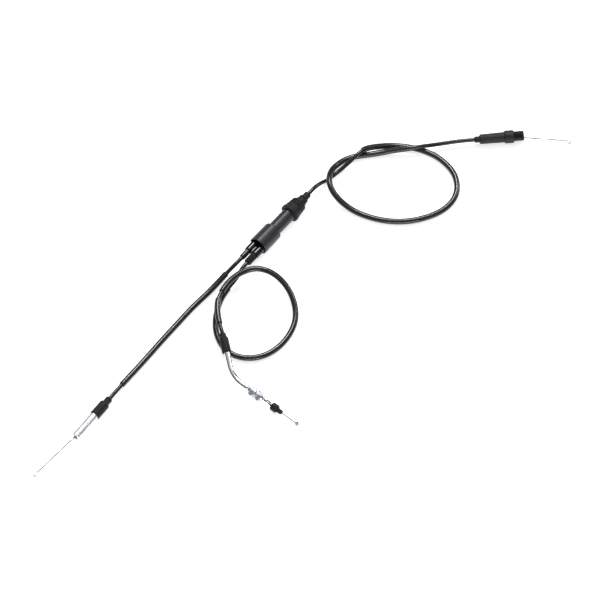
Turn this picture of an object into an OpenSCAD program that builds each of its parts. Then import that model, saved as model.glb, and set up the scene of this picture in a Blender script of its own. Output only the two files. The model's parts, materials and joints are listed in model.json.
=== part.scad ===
// Motorcycle throttle cable: one upper cable, a splitter and two lower cables.
// The upper cable runs from the throttle to the splitter. The lower cables run from the splitter
// to the carburettor and to the oil pump. Pulling the throttle nipple lifts the slider in the
// splitter, and the slider draws both lower wires in by the same travel.
// Millimetres, Z up, table at Z = 0. Every fitting is drawn along its own X axis, pointing
// outwards, and is then turned and moved to its place.

/* [Conduits and sleeves] */

// Diameter of the upper conduit
upper_conduit_d = 5; // [4.4:0.1:5.2]
// Diameter of the carburettor and pump conduits
lower_conduit_d = 5.0; // [4.4:0.1:5.2]
// Wall of the protective sleeves
sleeve_wall = 0.95; // [0.6:0.05:1.1]
// Gap between a conduit and its sleeve
sleeve_gap = 0.2; // [0.1:0.05:0.3]
// Wall of the metal ferrules on the conduit ends
ferrule_wall = 1.2; // [0.8:0.1:1.4]
// Length of conduit inside a ferrule
ferrule_grip = 8; // [5:0.5:9]

/* [Wires and nipples] */

// Diameter of the upper wire
upper_wire_d = 1.6; // [1.2:0.1:2]
// Diameter of the lower wires
lower_wire_d = 1.5; // [1.2:0.1:1.8]
// Diameter of the throttle nipple
throttle_nipple_d = 6.6; // [5:0.1:8]
// Length of the throttle nipple
throttle_nipple_h = 6; // [4:0.5:8]
// Diameter of the carburettor nipple
carb_nipple_d = 4.8; // [4:0.1:6]
// Length of the carburettor nipple
carb_nipple_h = 6; // [4:0.5:8]
// Diameter of the pump nipple
pump_nipple_d = 4.8; // [4:0.1:6]
// Length of the pump nipple
pump_nipple_h = 4.5; // [3:0.5:7]
// Distance from the adjuster's mouth to the throttle nipple
throttle_reach = 55; // [45:1:60]
// Distance from the carburettor tube's mouth to its nipple
carb_reach = 71; // [55:1:75]
// Distance from the dust cap's end to the pump nipple
pump_reach = 24; // [22:1:30]

/* [Throttle end] */

// Diameter of the adjuster's head
adjuster_head_d = 12.4; // [12:0.1:14]
// Length of the adjuster's head
adjuster_head_l = 12; // [8:0.5:16]
// Diameter of the adjuster's shank, inside the boot
adjuster_shank_d = 10.2; // [9.6:0.1:10.6]
// Length of the adjuster's shank
adjuster_shank_l = 28; // [22:1:32]
// Wall of the adjuster's shank
adjuster_wall = 0.9; // [0.6:0.1:1]
// Length of the throttle boot's ribbed neck
throttle_neck_l = 6.5; // [5:0.5:9]
// Diameter of the throttle boot's neck
throttle_neck_d = 8; // [7.2:0.1:9]
// Wall of the throttle boot over the adjuster's shank, next to the neck
throttle_boot_wall = 0.85; // [0.6:0.05:1]
// How much the throttle boot's radius grows from the neck to the rim
throttle_boot_taper = 0.4; // [0.1:0.1:0.6]
// How far the throttle boot's rim stands out from its body
throttle_rim_step = 1.5; // [0.8:0.1:1.6]
// Length of the throttle boot's rim
throttle_rim_l = 11.5; // [8:0.5:14]

/* [Splitter] */

// Diameter of the housing tube
housing_d = 17.2; // [16.8:0.1:18.4]
// Wall of the housing tube
housing_wall = 1.4; // [1:0.1:1.8]
// Length of the housing tube
housing_l = 67; // [62:1:72]
// Thickness of the housing's end wall
housing_end_t = 3; // [2:0.5:4]
// Wall of the sliding sleeve around its lower mouth
sleeve_mouth_wall = 1.6; // [1.2:0.1:1.8]
// How much the sliding sleeve's radius falls from its mouth to its upper end
sleeve_taper = 0.4; // [0.1:0.1:1]
// Length of the sliding sleeve
sleeve_l = 30; // [26:1:34]
// Depth of the wide mouth in the sliding sleeve
sleeve_mouth_l = 9; // [6:0.5:12]
// Wall of the rubber cap at its shoulder
cap_wall = 1; // [0.8:0.1:1.8]
// How much the rubber cap's radius grows from its shoulder to its mouth
cap_flare = 2.55; // [1.5:0.05:2.6]
// Length of the rubber cap's ridged cone
cap_cone_l = 20.7; // [18:0.5:22]
// Number of ridges on the rubber cap
cap_ridges = 5; // [3:1:7]
// Diameter of the rubber cap's step
cap_step_d = 13; // [11:0.1:15]
// Length of the rubber cap's step
cap_step_l = 8.5; // [7:0.5:10]
// Diameter of the rubber cap's collar
cap_collar_d = 9; // [7:0.1:10]
// Length of the rubber cap's collar
cap_collar_l = 8; // [5:0.5:9]
// Length of the slider
slider_l = 14; // [11:0.5:16]
// Diameter of each barrel of the outlet block
barrel_d = 10.2; // [9.4:0.1:10.6]
// Distance between the two outlets
outlet_pitch = 9.8; // [9:0.1:10]
// Length of the outlet block outside the sleeve
block_l = 13; // [10:0.5:18]
// Diameter of the carburettor outlet's socket
carb_socket_d = 7.2; // [6.8:0.1:9]
// Length of the carburettor outlet's socket
carb_socket_l = 12; // [10:0.5:16]
// Diameter of the pump outlet's ribbed socket
pump_socket_d = 9.2; // [8:0.1:9.6]
// Length of the pump outlet's ribbed socket
pump_socket_l = 14; // [12:0.5:18]
// Number of ribs on the pump outlet's socket
pump_socket_ribs = 5; // [3:1:7]

/* [Carburettor end] */

// Diameter of the aluminium tube
carb_tube_d = 11.2; // [10.6:0.1:11.6]
// Bore of the aluminium tube
carb_tube_bore = 6.6; // [6:0.1:7.4]
// Length of the aluminium tube outside the boot
carb_tube_l = 37.7; // [30:0.1:44]
// Wall of the carburettor boot over the tube
carb_boot_wall = 0.65; // [0.5:0.05:0.9]
// Length of the carburettor boot's body
carb_boot_l = 22.3; // [20:0.1:26]
// Diameter of the carburettor boot's neck
carb_neck_d = 8.5; // [7.4:0.1:9]
// Length of the carburettor boot's neck
carb_neck_l = 8.8; // [6:0.1:11]

/* [Pump end] */

// Diameter of the bent tube and its thread
pump_tube_d = 7; // [6.4:0.1:7]
// Bore of the bent tube
pump_tube_bore = 3.2; // [2.8:0.1:4]
// Angle of the bend
bend_angle = 38; // [20:1:44]
// Radius of the bend
bend_r = 44; // [36:1:48]
// Length of the straight leg between the bend and the boot
pump_leg_l = 17.5; // [14:0.5:22]
// Length of the threaded leg
pump_thread_leg_l = 52; // [49:1:56]
// Pitch of the thread
thread_pitch = 1; // [0.75:0.25:1.25]
// Width of the lock nuts across their flats
nut_af = 12; // [11:0.5:12]
// Thickness of the lock nuts
nut_t = 6; // [4:0.5:6]
// Distance between the two lock nuts' washers
bracket_gap = 3; // [2.5:0.1:4]
// Diameter of the washers
washer_d = 13.6; // [11:0.1:13.8]
// Thickness of the washers
washer_t = 1; // [0.5:0.1:1.2]
// Wall of the pump boot's body
pump_boot_wall = 1.5; // [1:0.1:2]
// Length of the pump boot's body
pump_boot_l = 20; // [18:0.5:24]
// Diameter of the pump boot's neck
pump_neck_d = 8; // [7.4:0.1:9]
// Length of the pump boot's neck
pump_neck_l = 6; // [4:0.5:9]
// Wall of the dust cap over the tube
dust_cap_wall = 1.6; // [0.9:0.1:2]
// Length of the dust cap's wide part
dust_cap_l = 8.1; // [7:0.1:10]
// Wall of the dust cap's snout
dust_snout_wall = 1.65; // [0.9:0.05:2]
// Length of the dust cap's snout
dust_snout_l = 7.1; // [5:0.1:8]

/* [Fits] */

// Radial clearance of pieces that slide on each other
running_gap = 0.05; // [0.03:0.01:0.08]
// Radial clearance of a wire in a hole
wire_gap = 0.4; // [0.2:0.05:0.5]

/* [Hidden] */

$fn = 64;
nudge = 0.01;

// Radii worked out from the sizes above.
upper_conduit_r = upper_conduit_d / 2;
lower_conduit_r = lower_conduit_d / 2;
upper_wire_r = upper_wire_d / 2;
lower_wire_r = lower_wire_d / 2;
housing_r = housing_d / 2;
housing_bore_r = housing_r - housing_wall;
barrel_r = barrel_d / 2;
outlet_y = outlet_pitch / 2;
pump_tube_r = pump_tube_d / 2;
shank_r = adjuster_shank_d / 2;
shank_bore_r = shank_r - adjuster_wall;
throttle_body_r = shank_r + running_gap + throttle_boot_wall;
throttle_body_end_r = throttle_body_r + throttle_boot_taper;
throttle_rim_r = throttle_body_end_r + throttle_rim_step;
cap_shoulder_r = housing_r + running_gap + cap_wall;
cap_mouth_r = cap_shoulder_r + cap_flare;
sleeve_lip = 1.8;
block_gap = 0.4;
sleeve_mouth_bore_r = max(outlet_y + barrel_r + block_gap, housing_r + sleeve_lip);
sleeve_mouth_r = sleeve_mouth_bore_r + sleeve_mouth_wall;
sleeve_top_r = sleeve_mouth_r - sleeve_taper;
carb_tube_r = carb_tube_d / 2;
carb_boot_r = carb_tube_r + running_gap + carb_boot_wall;
nut_corner_r = nut_af / 2 / cos(30);
pump_cavity_r = lower_conduit_r + ferrule_wall + 0.5;
pump_boot_r = max(pump_tube_r, pump_cavity_r) + pump_boot_wall;
dust_cap_r = pump_tube_r + dust_cap_wall;
dust_snout_r = lower_wire_r + wire_gap + dust_snout_wall;

// Places and headings of the fittings. Each fitting just clears the table.
table_gap = 0.1;
throttle_place = [265, 243, throttle_rim_r + table_gap];
throttle_turn = 6;
throttle_wire_turn = -5;
throttle_wire_side = -3.2;
splitter_place = [-55, 79, max(cap_mouth_r, sleeve_mouth_r)];
splitter_turn = 51.5;
carb_place = [-273.5, -194, carb_boot_r + table_gap];
carb_turn = 234;
carb_wire_turn = 229;
carb_wire_side = -1.3;
pump_place = [-74, -117, max(nut_corner_r, washer_d / 2) + table_gap];
pump_turn = -41;
pump_roll = 15.5;

// Stations along the throttle end, measured from the adjuster's mouth.
adjuster_rear = -adjuster_head_l - adjuster_shank_l;
ferrule_floor_t = 2;
throttle_conduit_end = adjuster_rear - ferrule_floor_t;
throttle_ferrule_rear = throttle_conduit_end - ferrule_grip;
throttle_neck_front = throttle_ferrule_rear - 1.5;
throttle_neck_rear = throttle_neck_front - throttle_neck_l;
throttle_rim_rear = -adjuster_head_l - throttle_rim_l;
adjuster_mouth_r = adjuster_head_d / 2 - 1.6;

// Stations along the splitter, measured from the sliding sleeve's mouth towards the upper cable.
housing_x0 = sleeve_mouth_l;
housing_x1 = housing_x0 + housing_l;
spigot_l = 6;
slider_x0 = housing_x0 + spigot_l + 1;
cap_x0 = housing_x1 - 16.4;
cap_shoulder_x = cap_x0 + cap_cone_l;
cap_step_x = cap_shoulder_x + cap_step_l;
cap_end_x = cap_step_x + cap_collar_l;
upper_conduit_end = housing_x1 + ferrule_floor_t;
upper_ferrule_end = upper_conduit_end + ferrule_grip;
ferrule_nose_r = 3;
socket_spigot_r = 3.2;
socket_spigot_l = 6;
socket_floor = 4;
carb_socket_end = -block_l - carb_socket_l;
pump_socket_end = -block_l - pump_socket_l;

// Stations along the carburettor end, measured from the tube's mouth.
carb_boot_mouth = -carb_tube_l;
carb_seat_x = carb_boot_mouth + 0.5;
carb_neck_front = carb_boot_mouth - carb_boot_l;
carb_neck_rear = carb_neck_front - carb_neck_l;
carb_ferrule_rear = carb_neck_front + 2;
carb_conduit_end = carb_ferrule_rear + ferrule_grip;
carb_tube_rear = carb_conduit_end + ferrule_floor_t;

// Stations along the pump end: the threaded leg is measured from the bend outwards, and the
// plain leg from the bend towards the conduit.
thread_start = 8;
inner_nut_x = 14.6;
inner_washer_x = inner_nut_x + nut_t;
outer_washer_x = inner_washer_x + washer_t + bracket_gap;
outer_nut_x = outer_washer_x + washer_t;
dust_cap_grip = 4;
dust_cap_x = pump_thread_leg_l - dust_cap_grip;
dust_cap_end = dust_cap_x + dust_cap_l + dust_snout_l;
pump_boot_end = pump_leg_l + pump_boot_l + pump_neck_l;
pump_ferrule_rear = pump_leg_l + pump_boot_l - 1;
pump_conduit_end = pump_ferrule_rear - ferrule_grip;
pump_tube_rear = pump_conduit_end - ferrule_floor_t;

// Hidden lengths of wire, kept short enough to stay inside their bores over the whole travel.
throttle_wire_tail = 24;
carb_wire_tail = 14;
pump_wire_tail = 22;
anchor_l = 5;
upper_stub_l = 26;
lower_stub_l = 22;

// Turns a vector about Z.
function turned(v, a) = [v.x * cos(a) - v.y * sin(a), v.x * sin(a) + v.y * cos(a), v.z];

// A point on each fitting's axis, in the common frame.
function throttle_point(x) = throttle_place + turned([x, 0, 0], throttle_turn);
function splitter_point(x, y) = splitter_place + turned([x, y, 0], splitter_turn);
function carb_point(x) = carb_place + turned([x, 0, 0], carb_turn);
function rolled(v, a) = [v.x, v.y * cos(a) - v.z * sin(a), v.y * sin(a) + v.z * cos(a)];
function leg_point(d) = pump_place + turned(rolled([-bend_r * sin(bend_angle) - d * cos(bend_angle),
    bend_r * (1 - cos(bend_angle)) + d * sin(bend_angle), 0], pump_roll), pump_turn);

// Routes of the conduits. The middle points are chosen by hand, and the ends follow the fittings.
upper_middle = [[21, 174, 8.2], [29, 181.5, 2.9], [38, 190.3, 2.9], [49, 199, 5.5], [61, 209, 11.2],
    [71, 220, 12], [80, 225, 9], [92, 229, 5.8], [106, 231, 4], [121, 230, 3.7], [136, 227, 3.7],
    [148, 222, 3.7], [161, 215, 3.7], [172, 204, 3.7], [180, 193, 3.7], [184, 181, 3.7],
    [185, 168, 3.7], [182, 155, 3.7], [175, 144, 3.7], [164, 134, 3.7], [147, 126, 3.7],
    [129, 121, 3.7], [111, 120, 3.7], [94, 122, 3.7], [78, 127, 3.7], [62, 134, 3.8],
    [48, 144, 6], [37, 155, 9.8], [31, 167, 12.6], [30, 179, 12.6], [33, 192, 9.2],
    [40, 203, 4.6], [51, 212, 3.7], [64, 216, 3.7], [79, 218, 3.7], [92, 220, 4.2], [104, 222, 6],
    [117, 222, 9], [130, 223, 11], [144, 225.6, 10.6], [158, 229, 8.6]];
carb_middle = [[-93, 42, 8.6], [-104, 29, 6], [-116, 15, 4.4], [-133, -3, 3.9], [-150, -26, 3.9],
    [-164, -44, 3.9], [-178, -63, 3.9], [-191, -81, 4.2], [-204, -99, 5.4]];
pump_middle = [[-80, 34, 9.6], [-91, 21, 8], [-100, 7, 5.2], [-104, -7, 4], [-106, -22, 4],
    [-106, -37, 4], [-102, -52, 4], [-95, -65, 4], [-84, -74, 4], [-70, -78, 4], [-55, -77, 4],
    [-41, -71, 4], [-28, -60, 4], [-18, -46, 4], [-11, -29, 4.2], [-9, -13, 5.2], [-12, 4, 8],
    [-19, 19, 12], [-30, 32, 15.6], [-43, 40, 18], [-57, 43, 18.6], [-70, 40, 18.2],
    [-83, 32, 17.2], [-92, 22, 16.4], [-99, 10, 16], [-103, 0, 15.8], [-104, -12, 15.8],
    [-103, -24, 16], [-101, -36, 16.6]];
upper_route = concat(
    [for (d = [0, 14, 25, 33]) splitter_point(upper_conduit_end + d, 0)],
    upper_middle,
    [for (d = [38, 26, 14, 0]) throttle_point(throttle_conduit_end - d)]);
carb_route = concat(
    [for (d = [0, 10, 22]) splitter_point(carb_socket_end + ferrule_grip - d, outlet_y)],
    carb_middle,
    [for (d = [42, 28, 14, 0]) carb_point(carb_conduit_end - d)]);
pump_route = concat(
    [for (d = [0, 10, 18]) splitter_point(pump_socket_end + ferrule_grip - d, -outlet_y)],
    pump_middle,
    [for (d = [20, 16, 8, 0]) leg_point(pump_conduit_end + d)]);
cord_sides = 10;

// Ring numbers where each sleeve starts and ends on its conduit.
upper_sleeve_span = [9, 42];
carb_sleeve_span = [3, 12];
pump_sleeve_span = [4, 27];
pump_end_sleeve_span = [28, 31];

// Softens a route, keeping its two ends.
function softened(p) = [for (i = [0 : len(p) - 1])
    i == 0 || i == len(p) - 1 ? p[i] : (p[i - 1] + 4 * p[i] + p[i + 1]) / 6];
function heading(p, i) = let (v = p[min(i + 1, len(p) - 1)] - p[max(i - 1, 0)]) v / norm(v);
function side_of(t) = let (s = cross(t, [0, 0, 1])) s / norm(s);
function ring(p, i, r) = let (t = heading(p, i), s = side_of(t), u = cross(s, t))
    [for (k = [0 : cord_sides - 1])
        p[i] + r * (cos(360 * k / cord_sides) * s + sin(360 * k / cord_sides) * u)];
function rings(p, a, b, r) = [for (i = [a : b]) each ring(p, i, r)];

// Faces of the skin between successive rings, outwards or inwards.
function next_side(k) = (k + 1) % cord_sides;
function skin(first, count, outwards) = [for (i = [0 : count - 2], k = [0 : cord_sides - 1])
    let (a = first + i * cord_sides, b = a + cord_sides, n = next_side(k))
    each outwards ? [[a + k, a + n, b + n], [a + k, b + n, b + k]]
                  : [[a + k, b + n, a + n], [a + k, b + k, b + n]]];

// A solid cord along a route.
module cord(route, r) {
    p = softened(route);
    count = len(p);
    last = (count - 1) * cord_sides;
    polyhedron(rings(p, 0, count - 1, r), concat(skin(0, count, true),
        [[for (k = [cord_sides - 1 : -1 : 0]) k]], [[for (k = [0 : cord_sides - 1]) last + k]]));
}

// A hollow sleeve along part of a route.
module hose(route, span, r_in, r_out) {
    p = softened(route);
    count = span[1] - span[0] + 1;
    inner = count * cord_sides;
    last = (count - 1) * cord_sides;
    start_face = [for (k = [0 : cord_sides - 1]) let (n = next_side(k))
        each [[k, inner + k, inner + n], [k, inner + n, n]]];
    end_face = [for (k = [0 : cord_sides - 1]) let (n = next_side(k))
        each [[last + k, inner + last + n, inner + last + k],
              [last + k, last + n, inner + last + n]]];
    polyhedron(concat(rings(p, span[0], span[1], r_out), rings(p, span[0], span[1], r_in)),
        concat(skin(0, count, true), skin(inner, count, false), start_face, end_face));
}

// Placing of the fittings.
module at_throttle() translate(throttle_place) rotate(throttle_turn) children();
module at_throttle_wire() at_throttle() translate([0, throttle_wire_side, 0])
    rotate(throttle_wire_turn - throttle_turn) children();
module at_splitter() translate(splitter_place) rotate(splitter_turn) children();
module at_carb() translate(carb_place) rotate(carb_turn) children();
module at_carb_wire() at_carb() translate([0, carb_wire_side, 0])
    rotate(carb_wire_turn - carb_turn) children();
module at_pump() translate(pump_place) rotate(pump_turn) rotate([pump_roll, 0, 0]) children();
// The plain leg of the pump tube, with X pointing back towards the conduit.
module at_leg() at_pump() translate([-bend_r * sin(bend_angle), bend_r * (1 - cos(bend_angle)), 0])
    rotate(180 - bend_angle) children();

// A round bar along X, and a turned shape with X as its axis and [x, r] outline points.
module bar(x0, x1, r) translate([x0, 0, 0]) rotate([0, 90, 0]) cylinder(h = x1 - x0, r = r);
module turning(outline) rotate([0, 90, 0]) rotate_extrude()
    polygon([for (q = outline) [q.y, q.x]]);

// A crimped ferrule. The conduit enters at x = rear, and the front face carries a flange.
module ferrule(rear, front, conduit_r, flange_r, wire_r) {
    body_r = conduit_r + ferrule_wall;
    flange_l = 3;
    difference() {
        union() {
            bar(rear, front, body_r);
            bar(front - flange_l, front, flange_r);
        }
        bar(rear - nudge, front - ferrule_floor_t, conduit_r);
        bar(rear, front + nudge, wire_r + wire_gap);
    }
}

// A barrel nipple with an upright axis and a shallow dimple where the wire is soldered.
module nipple(d, h) {
    dimple_d = d * 0.45;
    dimple_h = 1;
    difference() {
        translate([0, 0, -h / 2]) cylinder(h = h, d = d);
        translate([0, 0, h / 2 - dimple_h]) cylinder(h = dimple_h + nudge, d = dimple_d);
    }
}

// Throttle end.
module throttle_nipple() color("silver") at_throttle_wire() translate([throttle_reach, 0, 0])
    nipple(throttle_nipple_d, throttle_nipple_h);

module throttle_wire() color("dimgray") at_throttle_wire() difference() {
    bar(-throttle_wire_tail, throttle_reach, upper_wire_r);
    translate([throttle_reach, 0, 0]) cylinder(h = throttle_nipple_h, d = throttle_nipple_d,
        center = true);
}

module throttle_adjuster() color("#1c1c1e") at_throttle() {
    groove_pitch = 1.5;
    groove_depth = 0.3;
    difference() {
        union() {
            bar(-adjuster_head_l, 0, adjuster_head_d / 2);
            bar(adjuster_rear, -adjuster_head_l + nudge, shank_r);
        }
        bar(adjuster_rear - nudge, nudge, shank_bore_r);
        bar(-adjuster_head_l, nudge, adjuster_mouth_r);
        for (x = [-adjuster_head_l + groove_pitch : groove_pitch : -groove_pitch])
            difference() {
                bar(x, x + groove_pitch / 2, adjuster_head_d);
                bar(x - nudge, x + groove_pitch, adjuster_head_d / 2 - groove_depth);
            }
    }
}

module throttle_boot() color("#242427") at_throttle() {
    rib_pitch = 1.6;
    rib_depth = 0.4;
    neck_r = throttle_neck_d / 2;
    difference() {
        turning([[throttle_neck_rear, 0], [throttle_neck_rear, neck_r - rib_depth],
            [throttle_neck_front, neck_r + rib_depth],
            [throttle_neck_front, throttle_body_r - 0.8],
            [throttle_neck_front + 0.8, throttle_body_r],
            [throttle_rim_rear, throttle_body_end_r],
            [throttle_rim_rear + throttle_rim_step, throttle_rim_r],
            [-adjuster_head_l - throttle_rim_step, throttle_rim_r],
            [-adjuster_head_l, throttle_body_end_r], [-adjuster_head_l, 0]]);
        bar(throttle_ferrule_rear - 0.3, -adjuster_head_l + nudge, shank_r + running_gap);
        bar(throttle_neck_rear - nudge, throttle_ferrule_rear, upper_conduit_r + running_gap);
        for (x = [throttle_neck_rear + rib_pitch / 2 : rib_pitch : throttle_neck_front - rib_pitch])
            difference() {
                bar(x, x + rib_pitch / 2, throttle_neck_d);
                bar(x - nudge, x + rib_pitch, neck_r - rib_depth);
            }
    }
}

module throttle_ferrule() color("silver") at_throttle()
    ferrule(throttle_ferrule_rear, adjuster_rear, upper_conduit_r, shank_r - 0.2, upper_wire_r);

// Upper cable.
module upper_conduit() color("#17171a") cord(upper_route, upper_conduit_r);

module upper_sleeve() color("#1d1d20") hose(upper_route, upper_sleeve_span,
    upper_conduit_r + sleeve_gap, upper_conduit_r + sleeve_gap + sleeve_wall);

// Splitter.
module upper_ferrule() color("silver") at_splitter() {
    body_r = upper_conduit_r + ferrule_wall;
    difference() {
        union() {
            bar(housing_x1, upper_ferrule_end, body_r);
            bar(housing_x1 - housing_end_t, housing_x1 + nudge, ferrule_nose_r);
        }
        bar(upper_conduit_end, upper_ferrule_end + nudge, upper_conduit_r);
        bar(housing_x1 - housing_end_t - nudge, upper_ferrule_end, upper_wire_r + wire_gap);
    }
}

module splitter_cap() color("#242427") at_splitter() {
    ridge_depth = 0.7;
    ridge_pitch = (cap_cone_l - 2) / cap_ridges;
    fall = cap_flare / cap_ridges;
    step_r = cap_step_d / 2;
    collar_r = cap_collar_d / 2;
    corner = 0.8;
    difference() {
        turning(concat([[cap_x0, 0]],
            [for (i = [0 : cap_ridges - 1]) let (x = cap_x0 + i * ridge_pitch, r = cap_mouth_r - i * fall)
                each [[x, r], [x + ridge_pitch * 0.65, r - fall * 0.3],
                      [x + ridge_pitch * 0.7, r - fall - ridge_depth],
                      [x + ridge_pitch * 0.95, r - fall - ridge_depth]]],
            [[cap_shoulder_x - 2, cap_shoulder_r], [cap_shoulder_x - corner, cap_shoulder_r],
             [cap_shoulder_x, cap_shoulder_r - corner], [cap_shoulder_x, step_r],
             [cap_step_x - corner, step_r], [cap_step_x, step_r - corner],
             [cap_step_x, collar_r], [cap_end_x - corner, collar_r],
             [cap_end_x, collar_r - corner], [cap_end_x, 0]]));
        bar(cap_x0 - nudge, housing_x1 + 0.2, housing_r + running_gap);
        bar(housing_x1, upper_ferrule_end + 0.5, upper_conduit_r + ferrule_wall + 0.3);
        bar(upper_ferrule_end, cap_end_x + nudge, upper_conduit_r + running_gap);
    }
}

module splitter_housing() color("#2c2c30") at_splitter() difference() {
    bar(housing_x0, housing_x1, housing_r);
    bar(housing_x0 - nudge, housing_x1 - housing_end_t, housing_bore_r);
    bar(housing_x1 - housing_end_t - nudge, housing_x1 + nudge, ferrule_nose_r);
}

module splitter_slider() color("#d8d4c8") at_splitter() {
    difference() {
        bar(slider_x0, slider_x0 + slider_l, housing_bore_r - running_gap);
        bar(slider_x0 + slider_l - anchor_l, slider_x0 + slider_l + nudge, upper_wire_r);
        for (y = [-outlet_y, outlet_y])
            translate([0, y, 0]) bar(slider_x0 - nudge, slider_x0 + anchor_l, lower_wire_r);
    }
}

// Inside the splitter, the ends of the three wires are anchored in the slider.
module splitter_upper_wire() color("dimgray") at_splitter()
    bar(slider_x0 + slider_l - anchor_l, slider_x0 + slider_l + upper_stub_l, upper_wire_r);

module lower_stub(y) translate([0, y, 0])
    bar(slider_x0 + anchor_l - lower_stub_l, slider_x0 + anchor_l, lower_wire_r);
module splitter_carb_wire() color("dimgray") at_splitter() lower_stub(outlet_y);
module splitter_pump_wire() color("dimgray") at_splitter() lower_stub(-outlet_y);

module splitter_sleeve() color("#2a2a2e") at_splitter() {
    edge = 1.2;
    difference() {
        turning([[0, 0], [0, sleeve_mouth_r], [sleeve_l - edge, sleeve_top_r],
            [sleeve_l, sleeve_top_r - edge], [sleeve_l, 0]]);
        bar(-nudge, sleeve_l + nudge, housing_r + running_gap);
        bar(-nudge, sleeve_mouth_l, sleeve_mouth_bore_r);
    }
}

module outlet_block() color("#151518") at_splitter() difference() {
    union() {
        for (y = [-outlet_y, outlet_y]) translate([0, y, 0]) bar(-block_l, housing_x0, barrel_r);
        bar(housing_x0 - nudge, housing_x0 + spigot_l, housing_bore_r);
    }
    for (y = [-outlet_y, outlet_y]) translate([0, y, 0]) {
        bar(-block_l - nudge, -block_l + socket_spigot_l, socket_spigot_r);
        bar(-block_l, housing_x0 + spigot_l + nudge, lower_wire_r + wire_gap);
    }
}

// A socket of the outlet block, with a spigot towards the block and a bore for the conduit.
module socket(y, end, d) translate([0, y, 0]) difference() {
    union() {
        bar(end, -block_l, d / 2);
        bar(-block_l - nudge, -block_l + socket_spigot_l, socket_spigot_r);
    }
    bar(end - nudge, end + ferrule_grip, lower_conduit_r);
    bar(end, -block_l + socket_spigot_l + nudge, lower_wire_r + wire_gap);
}

module carb_socket() color("#1a1a1d") at_splitter() socket(outlet_y, carb_socket_end, carb_socket_d);

module pump_socket() color("#202023") at_splitter() difference() {
    rib_pitch = (pump_socket_l - 2) / pump_socket_ribs;
    rib_depth = 0.6;
    socket(-outlet_y, pump_socket_end, pump_socket_d);
    for (i = [0 : pump_socket_ribs - 1]) translate([0, -outlet_y, 0]) difference() {
        x = pump_socket_end + 1 + i * rib_pitch;
        bar(x, x + rib_pitch / 2, pump_socket_d);
        bar(x - nudge, x + rib_pitch, pump_socket_d / 2 - rib_depth);
    }
}

// Carburettor cable.
module carb_conduit() color("#17171a") cord(carb_route, lower_conduit_r);

module carb_sleeve() color("#1d1d20") hose(carb_route, carb_sleeve_span,
    lower_conduit_r + sleeve_gap, lower_conduit_r + sleeve_gap + sleeve_wall);

module carb_ferrule() color("silver") at_carb() ferrule(carb_ferrule_rear, carb_tube_rear,
    lower_conduit_r, carb_tube_r - 0.5, lower_wire_r);

module carb_boot() color("#242427") at_carb() {
    corner = 0.8;
    neck_r = carb_neck_d / 2;
    difference() {
        turning([[carb_neck_rear, 0], [carb_neck_rear, neck_r - corner],
            [carb_neck_rear + corner, neck_r], [carb_neck_front - 1, neck_r],
            [carb_neck_front + 1, carb_boot_r], [carb_boot_mouth - corner, carb_boot_r],
            [carb_boot_mouth, carb_boot_r - corner / 2], [carb_boot_mouth, 0]]);
        bar(carb_neck_rear - nudge, carb_boot_mouth, lower_conduit_r + running_gap);
        bar(carb_ferrule_rear - 0.3, carb_boot_mouth + nudge, carb_tube_r + running_gap);
    }
}

// The tube is a little thinner where the boot grips it.
module carb_tube() color("#d9dadd") at_carb() {
    chamfer = 0.6;
    seat_r = carb_tube_r - 0.2;
    difference() {
        turning([[carb_tube_rear, 0], [carb_tube_rear, seat_r], [carb_seat_x, seat_r],
            [carb_seat_x, carb_tube_r], [-chamfer, carb_tube_r], [0, carb_tube_r - chamfer],
            [0, 0]]);
        bar(carb_tube_rear - nudge, nudge, carb_tube_bore / 2);
    }
}

module carb_wire() color("dimgray") at_carb_wire() difference() {
    bar(-carb_wire_tail, carb_reach, lower_wire_r);
    translate([carb_reach, 0, 0]) cylinder(h = carb_nipple_h, d = carb_nipple_d, center = true);
}

module carb_nipple() color("silver") at_carb_wire() translate([carb_reach, 0, 0])
    nipple(carb_nipple_d, carb_nipple_h);

// Oil pump cable.
module pump_conduit() color("#17171a") cord(pump_route, lower_conduit_r);

module pump_sleeve() color("#1d1d20") hose(pump_route, pump_sleeve_span,
    lower_conduit_r + sleeve_gap, lower_conduit_r + sleeve_gap + sleeve_wall);

module pump_end_sleeve() color("#1d1d20") hose(pump_route, pump_end_sleeve_span,
    lower_conduit_r + sleeve_gap, lower_conduit_r + sleeve_gap + sleeve_wall);

module pump_ferrule() color("silver") at_leg() mirror([1, 0, 0]) ferrule(-pump_ferrule_rear,
    -pump_tube_rear, lower_conduit_r, lower_conduit_r + ferrule_wall + 0.3, lower_wire_r);

module pump_boot() color("#242427") at_leg() {
    corner = 0.8;
    neck_r = pump_neck_d / 2;
    body_end = pump_leg_l + pump_boot_l;
    difference() {
        turning([[pump_leg_l, 0], [pump_leg_l, pump_boot_r - corner],
            [pump_leg_l + corner, pump_boot_r], [body_end - 1, pump_boot_r],
            [body_end + 1, neck_r], [pump_boot_end - corner, neck_r],
            [pump_boot_end, neck_r - corner], [pump_boot_end, 0]]);
        bar(pump_leg_l - nudge, pump_tube_rear, pump_tube_r);
        bar(pump_tube_rear - nudge, pump_ferrule_rear + 0.2, pump_cavity_r);
        bar(pump_ferrule_rear, pump_boot_end + nudge, lower_conduit_r);
    }
}

// The path of the bent tube, drawn solid: threaded leg, bend and plain leg. Bending draws the
// tube a little thinner, and each leg overlaps the bend's end.
module bent_path(r, past) {
    thinning = 0.05;
    overlap = 0.4;
    at_pump() {
        bar(-overlap, pump_thread_leg_l + past, r);
        translate([0, bend_r, 0]) rotate(-90 - bend_angle)
            rotate_extrude(angle = bend_angle) translate([bend_r, 0]) circle(r = r - thinning);
    }
    at_leg() bar(-overlap, pump_tube_rear + past, r);
}

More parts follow.
